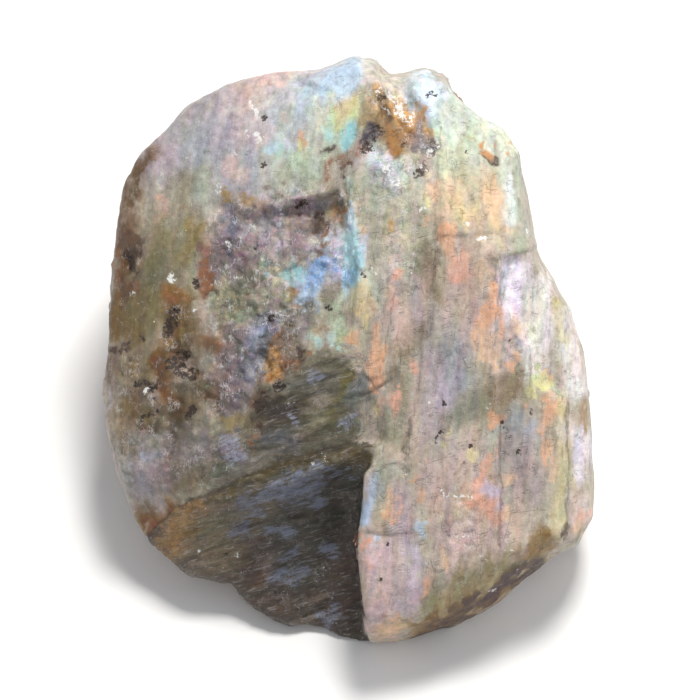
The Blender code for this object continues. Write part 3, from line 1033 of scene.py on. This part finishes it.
def line_sides(spots, points):
    """How far each (u, v) lies from the line through the points, and how far on the left of it."""
    best = np.full(len(spots), np.inf)
    left = np.zeros(len(spots))
    points = [np.array(point) for point in points]
    for start, end in zip(points, points[1:] or points):
        run = end - start
        away = spots - start
        along = np.clip(away @ run / max(run @ run, 1e-9), 0.0, 1.0)
        beside = (away[:, 1] * run[0] - away[:, 0] * run[1]) / max(np.hypot(*run), 1e-9)
        away = away - along[:, None] * run
        distance = np.hypot(away[:, 0], away[:, 1])
        left = np.where(distance < best, beside, left)
        best = np.minimum(best, distance)
    return best, left


def line_distance(spots, points):
    return line_sides(spots, points)[0]


def ledges(spots, lines):
    """Low steps: the ground rises sharply at the left of each line and falls gently away from there."""
    height = np.zeros(len(spots))
    for rise, width, points in lines:
        distance, left = line_sides(spots, points)
        past_end = distance - np.abs(left)
        fade = np.exp(-np.maximum(left, 0.0) / width) * (1.0 - smooth_step(0.0, width, past_end))
        height += rise * fade * smooth_step(-0.12, 0.12, left)
    return height


def painted(spots, strokes, under=None, soft=(0.1, 1.5)):
    """The colour and the cover, 0 to 1, that strokes give at each (u, v), over a colour if given."""
    cover = np.zeros(len(spots)) if under is None else np.ones(len(spots))
    colour = np.zeros((len(spots), 3)) if under is None else np.tile(under, (len(spots), 1))
    for name, radius, strength, points in strokes:
        away = line_distance(spots, points) / radius
        share = strength * (1.0 - smooth_step(*soft, away))
        colour = mixed(share, colour, PALETTE[name])
        cover = cover * (1.0 - share) + share
    return colour / np.maximum(cover, 1e-6)[:, None], cover


def covered(spots, strokes, soft):
    """How far each (u, v) lies under any stroke, from 0 to 1."""
    best = np.zeros(len(spots))
    for radius, strength, points in strokes:
        away = line_distance(spots, points) / radius
        best = np.maximum(best, strength * (1.0 - smooth_step(*soft, away)))
    return best


def tents(spots, strokes, reach):
    """How near each (u, v) is to any stroke: 1 inside it, falling to 0 at reach beyond it."""
    best = np.zeros(len(spots))
    for radius, strength, points in strokes:
        beyond = np.maximum(line_distance(spots, points) - radius, 0.0)
        best = np.maximum(best, strength * np.clip(1.0 - beyond / reach, 0.0, 1.0))
    return best


def inside(spots, outline):
    """Whether each (u, v) lies within a closed outline."""
    result = np.zeros(len(spots), dtype=bool)
    for (u0, v0), (u1, v1) in zip(outline, outline[1:] + outline[:1]):
        spans = (v0 > spots[:, 1]) != (v1 > spots[:, 1])
        crossing = u0 + (spots[:, 1] - v0) * (u1 - u0) / ((v1 - v0) or 1e-9)
        result ^= spans & (spots[:, 0] < crossing)
    return result


def read(mesh, kind):
    values = np.empty(len(mesh.vertices) * 3)
    mesh.vertices.foreach_get(kind, values)
    return values.reshape(-1, 3)


def to_face(points):
    return (points / MM - FACE_ORIGIN) @ FACE_AXES.T


def from_face(places):
    return (places @ FACE_AXES + FACE_ORIGIN) * MM


def bake(obj):
    """Replaces an object's mesh by what its modifiers make of it."""
    evaluated = obj.evaluated_get(bpy.context.evaluated_depsgraph_get())
    mesh = bpy.data.meshes.new_from_object(evaluated)
    obj.modifiers.clear()
    obj.data = mesh


def regions(places):
    """What kind of surface each place is: shares from 0 to 1 for each region."""
    u, v, n = places.T
    spots = places[:, :2]
    front = smooth_step(-6.5, -4.0, n)
    broad = np.min([level + u * rise_u + v * rise_v for level, rise_u, rise_v in BROAD_PLANES], axis=0)
    sunk = np.maximum(smooth_step(0.35, 0.9, broad - n), smooth_step(1.5, 0.0, u))
    # The slab's wall beside the hollow counts as hollow too. It takes the hollow's ridges and its dark
    # colours, which are partly painted shade.
    wall = smooth_step(0.8, 1.4, broad - n) * smooth_step(-27.5, -26.0, v)
    wall = wall * inside(spots - (0.8, 0.0), HOLLOW_OUTLINE)
    hollow = front * np.maximum(sunk * inside(spots, HOLLOW_OUTLINE), wall)
    rough = front * covered(spots, ROUGH, soft=(0.6, 1.3))
    right = front * (1.0 - hollow) * smooth_step(-1.5, 1.5, u + 0.12 * v)
    brow = front * (1.0 - hollow) * covered(spots, BROW, soft=(0.5, 1.3))
    return SimpleNamespace(front=front, hollow=hollow, rough=rough, right=right, brow=brow)


def relief(places, region):
    """How far each place rises along its normal, in mm."""
    ragged = wobbled(places, (2.2, 0.35))
    steps = layered(turned(ragged, -UPRIGHT_LEAN), STEPS)
    splinters = layered(ragged, SPLINTERS)
    ridges = layered(turned(ragged, SWEEP_RISE - 90.0), RIDGES)
    fine = 0.05 * ripple(places, 0.9, 2)

    front, hollow, rough = region.front, region.hollow, region.rough
    smooth, unswept = 1.0 - rough, 1.0 - region.brow
    left = front * (1.0 - hollow) * (1.0 - region.right) * unswept
    height = region.right * smooth * unswept * steps + left * smooth * (0.5 * steps + fine)
    striped = np.maximum(hollow, 0.7 * region.brow * smooth)
    height += rough * (1.0 - hollow) * splinters + striped * ridges
    height += (1.0 - front) * (layered(ragged, BROKEN_BACK) + fine) + 0.5 * fine
    edged = wobbled(places, (3.0, 0.30), (0.8, 0.10))[:, :2]
    height += front * ledges(edged, LEDGES)
    for cuts in (CRACKS_AND_SHADOW_LINES, INKS_AND_SHADOW_DOTS):
        height -= CUT_DEPTH * front * tents(edged, cuts, CUT_REACH)
    return height


def fine_stone(cad):
    """A finer copy of the CAD solid with its relief, coarser again on the back, and flat underneath."""
    stone = bpy.data.objects.new(PIECE, cad.data.copy())
    bpy.context.scene.collection.objects.link(stone)
    remesh = stone.modifiers.new("even_mesh", "REMESH")
    remesh.mode = "VOXEL"
    remesh.voxel_size = VOXEL
    soften = stone.modifiers.new("soften", "SMOOTH")
    soften.factor = 0.5
    soften.iterations = 2
    bake(stone)
    places = to_face(read(stone.data, "co"))
    normals = read(stone.data, "normal") @ FACE_AXES.T
    region = regions(places)
    places += normals * relief(places, region)[:, None]
    stone.data.vertices.foreach_set("co", from_face(places).ravel())
    thin_out_back(stone, region.front)
    points = read(stone.data, "co")
    points[:, 2] = np.maximum(points[:, 2], 0.0)
    stone.data.vertices.foreach_set("co", points.ravel())
    return stone


def thin_out_back(stone, front):
    group = stone.vertex_groups.new(name="back")
    for index in np.flatnonzero(front < 0.5).tolist():
        group.add([index], 1.0, "REPLACE")
    thin = stone.modifiers.new("thin_out", "DECIMATE")
    thin.ratio = TRIANGLES_KEPT
    thin.vertex_group = group.name
    thin.vertex_group_factor = 1.0
    bake(stone)
    stone.vertex_groups.clear()


def write(mesh, name, kind, values):
    layer = mesh.attributes.new(name, kind, "POINT")
    slot = {"FLOAT": "value", "FLOAT_VECTOR": "vector", "FLOAT_COLOR": "color"}[kind]
    layer.data.foreach_set(slot, np.ascontiguousarray(values, dtype=np.float32).ravel())


def back_colour(places):
    """The unseen back: the same feldspar in patches of its own, with rust where water has stood."""
    colour = np.tile(PALETTE["back"], (len(places), 1))
    for index, (name, size, low, high) in enumerate(BACK_TINTS):
        share = smooth_step(low, high, ripple(places + 37.0 * index, size, 3))
        colour = mixed(share, colour, PALETTE[name])
    return colour


def jittered(places, right):
    """Where each place takes its colour from: moved in upright chips on the right, else in crumbs."""
    loose = wobbled(places, (2.6, 0.45), (0.9, 0.20))
    upright = moved_by_chip(turned(loose, -UPRIGHT_LEAN), (0.9, 4.5, 2.0), (0.5, 1.6, 0.0), 51)
    crumbled = moved_by_chip(moved_by_chip(loose, 1.6, 0.9, 52), 0.7, 0.5, 53)
    return np.where(right[:, None] > 0.5, turned(upright, UPRIGHT_LEAN), crumbled)[:, :2]


def paint(stone):
    """Writes the painted colours and masks on the mesh, for the material to read."""
    mesh = stone.data
    places = to_face(read(mesh, "co"))
    region = regions(places)
    front = smooth_step(-8.0, -3.0, places[:, 2] + 2.5 * ripple(places, 4.0, 2))
    spots = jittered(places, region.right)

    zone = painted(spots, ZONES, under=PALETTE["body"])[0]
    zone = np.maximum(PALETTE["body"] + CONTRAST * (zone - PALETTE["body"]), 0.02)
    # The hollow takes its own colours: darker feldspar and painted shade.
    zone = mixed(region.hollow, zone, painted(spots, HOLLOW, under=PALETTE["hollow"])[0])
    zone = mixed(front, back_colour(places), zone)
    write(mesh, "zone", "FLOAT_COLOR", np.hstack((zone, np.ones((len(places), 1)))))

    halos = [("umber_stain", radius * HALO_WIDTH, HALO_STRENGTH * strength, points)
             for radius, strength, points in INKS_AND_SHADOW_DOTS if radius >= HALO_FROM]
    for name, strokes in (("flash", FLASHES), ("stain", halos + STAINS)):
        colour, cover = painted(spots, strokes, soft=(0.0, 1.7))
        write(mesh, name, "FLOAT_COLOR", np.hstack((colour, (cover * front)[:, None])))

    crisp = wobbled(places, (1.6, 0.30), (0.6, 0.14))[:, :2]
    for name, strokes, reach in (("ink", INKS_AND_SHADOW_DOTS, 0.5), ("white", WHITES, 0.4), ("crack", CRACKS_AND_SHADOW_LINES, 0.3)):
        write(mesh, name, "FLOAT", tents(crisp, strokes, reach) * front)
    for name in ("hollow", "rough", "right", "brow"):
        write(mesh, name, "FLOAT", getattr(region, name))
    write(mesh, "face", "FLOAT_VECTOR", places)


class Nodes:
    """Adds shader nodes: each call gives the new node's output that is asked for."""

    def __init__(self, material):
        material.use_nodes = True
        self.tree = material.node_tree

    def add(self, kind, inputs=None, out=0, **settings):
        node = self.tree.nodes.new("ShaderNode" + kind)
        for name, value in settings.items():
            setattr(node, name, value)
        for socket, value in (inputs or {}).items():
            self.put(node.inputs[socket], value)
        return node.outputs[out]

    def put(self, socket, value):
        if isinstance(value, bpy.types.NodeSocket):
            self.tree.links.new(value, socket)
        else:
            socket.default_value = value

    def math(self, operation, *values):
        return self.add("Math", dict(enumerate(values)), operation=operation)

    def times(self, first, *factors):
        for factor in factors:
            first = self.math("MULTIPLY", first, factor)
        return first

    def plus(self, value, factor, base):
        """The base and the value times the factor."""
        return self.math("MULTIPLY_ADD", value, factor, base)

    def most(self, first, second):
        return self.math("MAXIMUM", first, second)

    def around(self, value, weight):
        """0.5 and the weight times what the value is above 0.5."""
        return self.plus(self.math("SUBTRACT", value, 0.5), weight, 0.5)

    def mixture(self, *layers):
        """1, plus how far each layer's value is from 0.5 times its weight."""
        total = 1.0 - 0.5 * sum(weight for _, weight in layers)
        for value, weight in layers:
            total = self.plus(value, weight, total)
        return total

    def ramp(self, value, low, high, to_low=0.0, to_high=1.0):
        inputs = {0: value, 1: low, 2: high, 3: to_low, 4: to_high}
        return self.add("MapRange", inputs, interpolation_type="SMOOTHSTEP")

    def blend(self, share, low, high, kind="MIX"):
        return self.add("Mix", {0: share, 6: low, 7: high}, out=2, data_type="RGBA", blend_type=kind)

    def tinted(self, colour, tint, share=1.0):
        return self.blend(share, colour, tint, "MULTIPLY")

    def attribute(self, name, out):
        return self.add("Attribute", attribute_name=name, out=out)

    def scaled(self, vector, factors, shift):
        inputs = {0: vector, 1: factors, 2: shift}
        return self.add("VectorMath", inputs, operation="MULTIPLY_ADD")

    def stretched(self, places, scale, turn):
        inputs = {0: places, 3: math.radians(turn)}
        turned_places = self.add("VectorRotate", inputs, rotation_type="Z_AXIS")
        return self.add("VectorMath", {0: turned_places, 1: scale}, operation="MULTIPLY")

    def grain(self, places, scale, detail, roughness=0.5, out=0):
        inputs = {"Vector": places, "Scale": scale, "Detail": detail, "Roughness": roughness}
        return self.add("TexNoise", inputs, out=out)

    def cells(self, places, scale):
        """The random colour of each cell of a broken surface, and how far its middle is."""
        distance = self.add("TexVoronoi", {"Vector": places, "Scale": scale})
        return distance.node.outputs["Color"], distance

    def veins(self, places, scale, width):
        """Long fine lines, where a smooth noise passes its middle: 1 on a line, 0 beside it."""
        off_middle = self.math("ABSOLUTE", self.math("SUBTRACT", self.grain(places, scale, 2.0), 0.5))
        return self.ramp(off_middle, 0.0, width, 1.0, 0.0)


def opaque(name):
    return (*PALETTE[name], 1.0)


def stone_fields(nodes):
    """The painted masks, the stone's own directions, and the noises that several looks share."""
    names = ("ink", "white", "crack", "hollow", "rough", "right", "brow")
    field = SimpleNamespace(**{name: nodes.attribute(name, "Fac") for name in names})
    face = field.face = nodes.attribute("face", "Vector")
    field.slanted = nodes.most(field.hollow, field.brow)

    # Upright on the broad face, swept up to the right in and round the hollow.
    field.upright = nodes.stretched(face, (1.0, 0.18, 1.0), UPRIGHT_LEAN)
    swept = nodes.stretched(face, (0.18, 1.0, 0.6), -SWEEP_RISE)
    inputs = {0: field.slanted, 4: field.upright, 5: swept}
    field.lie = nodes.add("Mix", inputs, out=1, data_type="VECTOR")
    field.level = nodes.stretched(face, (0.16, 1.0, 1.0), -WRINKLE_RISE)
    jitter = nodes.grain(face, 1.3, 3.0, out=1)
    field.bent = nodes.scaled(jitter, (0.9, 0.9, 0.9), face)
    field.bent_lie = nodes.scaled(jitter, (0.9, 0.3, 0.9), field.lie)

    field.streak = nodes.grain(field.lie, 1.1, 4.0, 0.6)
    field.fibre = nodes.grain(field.lie, 3.2, 5.0, 0.7)
    field.speck = nodes.grain(face, 6.0, 4.0, 0.75)
    field.patch = nodes.grain(face, 1.6, 4.0, 0.6)
    field.clump = nodes.grain(face, 3.0, 3.0, 0.6)
    field.plank = nodes.add("SeparateColor", {0: nodes.cells(field.bent_lie, 0.8)[0]})
    field.chip_colour = nodes.cells(field.bent, 1.3)[0]
    field.chipped = nodes.around(nodes.add("SeparateColor", {0: field.chip_colour}), field.rough)
    field.carved = nodes.around(field.fibre, nodes.plus(field.slanted, 1.5, 0.4))
    return field


def body_colour(nodes, field):
    """The painted zones, with a change of hue between streaks and, where it is rough, between chips."""
    hues = nodes.grain(field.bent_lie, 1.0, 3.0, 0.55, out=1)
    hues = nodes.scaled(hues, (0.54, 0.34, 0.60), (0.74, 0.82, 0.71))
    colour = nodes.tinted(nodes.attribute("zone", "Color"), hues)
    mosaic = nodes.blend(0.25, field.chip_colour, nodes.cells(field.bent, 3.4)[0])
    mosaic = nodes.scaled(mosaic, (0.30, 0.28, 0.36), (0.87, 0.88, 0.84))
    return nodes.blend(nodes.times(field.rough, 0.9), colour, nodes.tinted(colour, mosaic))


def vein_lines(nodes, field):
    """Fine wrinkles and upright lines, in some places only, and fainter away from the right face."""
    lines = nodes.most(nodes.veins(field.level, 1.3, 0.024), nodes.veins(field.upright, 0.8, 0.016))
    somewhere = nodes.ramp(nodes.grain(field.face, 0.9, 2.0), 0.50, 0.60)
    return nodes.times(lines, somewhere, nodes.plus(field.right, 0.6, 0.4))


def shading(nodes, field, vein):
    """Light and dark, from streaks down to dust, as a grey to tint a colour with."""
    busy = nodes.plus(nodes.most(field.rough, field.slanted), 0.7, 0.3)
    dust = nodes.grain(field.face, 12.0, 2.0, 0.6)
    crumb = nodes.mixture((field.speck, 1.0), (dust, 0.9))
    crumb = nodes.plus(crumb, busy, nodes.math("SUBTRACT", 0.5, busy))
    shade = nodes.mixture((field.streak, 0.95), (field.carved, 1.0), (crumb, 1.0), (field.patch, 1.05),
                          (field.plank, 0.16), (field.chipped, 0.42))
    shade = nodes.times(shade, nodes.plus(vein, -0.32, 1.0))
    return nodes.add("CombineColor", {0: shade, 1: shade, 2: shade})


def with_stains_and_flashes(nodes, field, colour, shade):
    lively = nodes.ramp(nodes.grain(field.bent_lie, 2.1, 4.0, 0.65), 0.36, 0.62, 0.55, 1.0)
    lively = nodes.times(lively, FLASH_STRENGTH)
    for name, noisy, full in (("stain", field.patch, STAIN_STRENGTH), ("flash", field.streak, lively)):
        own = nodes.attribute(name, "Color")
        cover = own.node.outputs["Alpha"]
        streaky = nodes.mixture((noisy, 2.4), (field.carved, 3.0), (field.speck, 1.2),
                                (field.plank, 0.5))
        share = nodes.ramp(nodes.times(cover, streaky), 0.15, 0.85, 0.0, full)
        colour = nodes.blend(share, colour, nodes.tinted(own, shade, 0.7))
    return colour


def bright_breaks_and_glints(nodes, field):
    """Where bright hairs, scratches and splinters lie, crystals that are broken across, and tiny white
    grains that are painted glints.
    """
    sparse = nodes.ramp(nodes.grain(field.face, 0.8, 3.0, 0.6), 0.48, 0.62)
    crystal = nodes.plus(field.rough, 0.85, 0.15)
    hair = nodes.most(nodes.veins(field.face, 1.3, 0.03), nodes.veins(field.upright, 2.0, 0.035))
    hair = nodes.times(hair, nodes.times(sparse, crystal))
    scratch = nodes.times(nodes.veins(field.level, 3.0, 0.035), nodes.ramp(field.clump, 0.57, 0.63))
    hair = nodes.most(hair, nodes.times(scratch, sparse))
    splint = nodes.times(nodes.ramp(nodes.grain(field.lie, 4.5, 3.0), 0.57, 0.70), field.slanted)
    hair = nodes.most(hair, nodes.times(splint, 0.26))
    # Tiny white grains: painted glints.
    painted_glint_colour, painted_glint_distance = nodes.cells(field.face, 2.6)
    chosen = nodes.ramp(nodes.add("SeparateColor", {0: painted_glint_colour}), 0.88, 0.94)
    painted_glint = nodes.times(nodes.ramp(painted_glint_distance, 0.06, 0.16, 1.0, 0.0), chosen, crystal)
    return nodes.times(nodes.most(hair, painted_glint), 0.7)


def mark_share(nodes, field, name, low, high, amount, ragged=3.0):
    """How far a painted mark hides what is under it, with a ragged edge."""
    broken = nodes.mixture((field.clump, ragged), (field.patch, 1.5))
    broken = nodes.times(broken, getattr(field, name))
    return nodes.times(nodes.ramp(broken, low, high), amount)


def stone_material():
    material = bpy.data.materials.new("labradorite_feldspar")
    nodes = Nodes(material)
    shader = nodes.tree.nodes["Principled BSDF"]
    field = stone_fields(nodes)
    vein = vein_lines(nodes, field)
    bright_and_glints = bright_breaks_and_glints(nodes, field)
    crack = mark_share(nodes, field, "crack", 0.50, 1.0, 0.52, ragged=1.0)
    ink = mark_share(nodes, field, "ink", 0.60, 0.92, 0.94)
    white = mark_share(nodes, field, "white", 0.7, 1.0, 0.85)

    shade = shading(nodes, field, vein)
    colour = nodes.tinted(body_colour(nodes, field), shade)
    colour = with_stains_and_flashes(nodes, field, colour, shade)
    # Bright hairs and scratches, with painted glints.
    colour = nodes.blend(bright_and_glints, colour, (0.74, 0.74, 0.76, 1.0))
    # Cracks, and painted shadow lines at ledges and under the overhang.
    colour = nodes.blend(crack, colour, opaque("crack"))
    dark = nodes.blend(nodes.ramp(field.speck, 0.46, 0.56), opaque("brown"), opaque("ink"))
    # Dark inclusions, and dots of painted shadow line under the overhang.
    colour = nodes.blend(ink, colour, dark)
    # White scratches and painted glints.
    colour = nodes.blend(white, colour, opaque("white"))
    nodes.put(shader.inputs["Base Color"], colour)

    rough = nodes.ramp(field.speck, 0.3, 0.7, 0.34, 0.60)
    rough = nodes.add("Mix", {0: nodes.most(white, bright_and_glints), 2: rough, 3: 0.18})
    nodes.put(shader.inputs["Roughness"], rough)

    height = nodes.mixture((field.fibre, 0.5), (field.speck, 0.8), (field.plank, 0.35),
                           (field.chipped, 0.9))
    height = nodes.plus(bright_and_glints, 0.5, nodes.plus(vein, -0.4, height))
    bump = nodes.add("Bump", {"Strength": 0.8, "Distance": 0.12 * MM, "Height": height})
    nodes.put(shader.inputs["Normal"], bump)
    shader.inputs["IOR"].default_value = 1.56
    material.diffuse_color = opaque("body")
    return material


def floor_material():
    material = bpy.data.materials.new("pale_floor")
    material.use_nodes = True
    shader = material.node_tree.nodes["Principled BSDF"]
    shader.inputs["Base Color"].default_value = (0.92, 0.92, 0.92, 1.0)
    shader.inputs["Roughness"].default_value = 0.9
    shader.inputs["Specular IOR Level"].default_value = 0.1
    return material


def add_floor():
    mesh = bpy.data.meshes.new("floor")
    reach = 1.5
    corners = [(-reach, -reach, 0.0), (reach, -reach, 0.0), (reach, reach, 0.0), (-reach, reach, 0.0)]
    mesh.from_pydata(corners, [], [(0, 1, 2, 3)])
    mesh.materials.append(floor_material())
    floor = bpy.data.objects.new("floor", mesh)
    bpy.context.scene.collection.objects.link(floor)


def add_light(name, toward, distance, size, power, colour):
    """A square softbox that looks at the stone from the given direction."""
    data = bpy.data.lights.new(name, "AREA")
    data.size = size
    data.energy = power
    data.color = colour
    lamp = bpy.data.objects.new(name, data)
    target = Vector(FACE_ORIGIN) * MM
    lamp.location = target + Vector(toward).normalized() * distance
    lamp.rotation_euler = (target - lamp.location).to_track_quat("-Z", "Y").to_euler()
    bpy.context.scene.collection.objects.link(lamp)


def add_world():
    world = bpy.data.worlds.new("studio")
    bpy.context.scene.world = world
    world.use_nodes = True
    background = world.node_tree.nodes["Background"]
    background.inputs["Color"].default_value = (0.97, 0.98, 1.0, 1.0)
    background.inputs["Strength"].default_value = 0.47


def add_camera():
    """Looks square onto the broad face with a long lens; the frame is 70 mm wide there."""
    frame_width = 70.0 * MM
    data = bpy.data.cameras.new("camera")
    data.lens = 400.0
    data.sensor_width = 36.0
    camera = bpy.data.objects.new("camera", data)
    distance = frame_width * data.lens / data.sensor_width
    camera.location = Vector(FACE_ORIGIN * MM) + Vector(FACE_AXES[2]) * distance
    camera.rotation_euler = (FACE_LEAN, 0.0, 0.0)
    bpy.context.scene.collection.objects.link(camera)
    bpy.context.scene.camera = camera


def build():
    stone = fine_stone(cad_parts[NODE])
    paint(stone)
    stone.data.shade_smooth()
    stone.data.materials.clear()
    stone.data.materials.append(stone_material())
    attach(stone, "root")
    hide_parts(NODE)
    add_floor()
    add_world()
    for light in LIGHTS:
        add_light(*light)
    add_camera()
    bpy.context.scene.view_settings.view_transform = "Standard"


build()
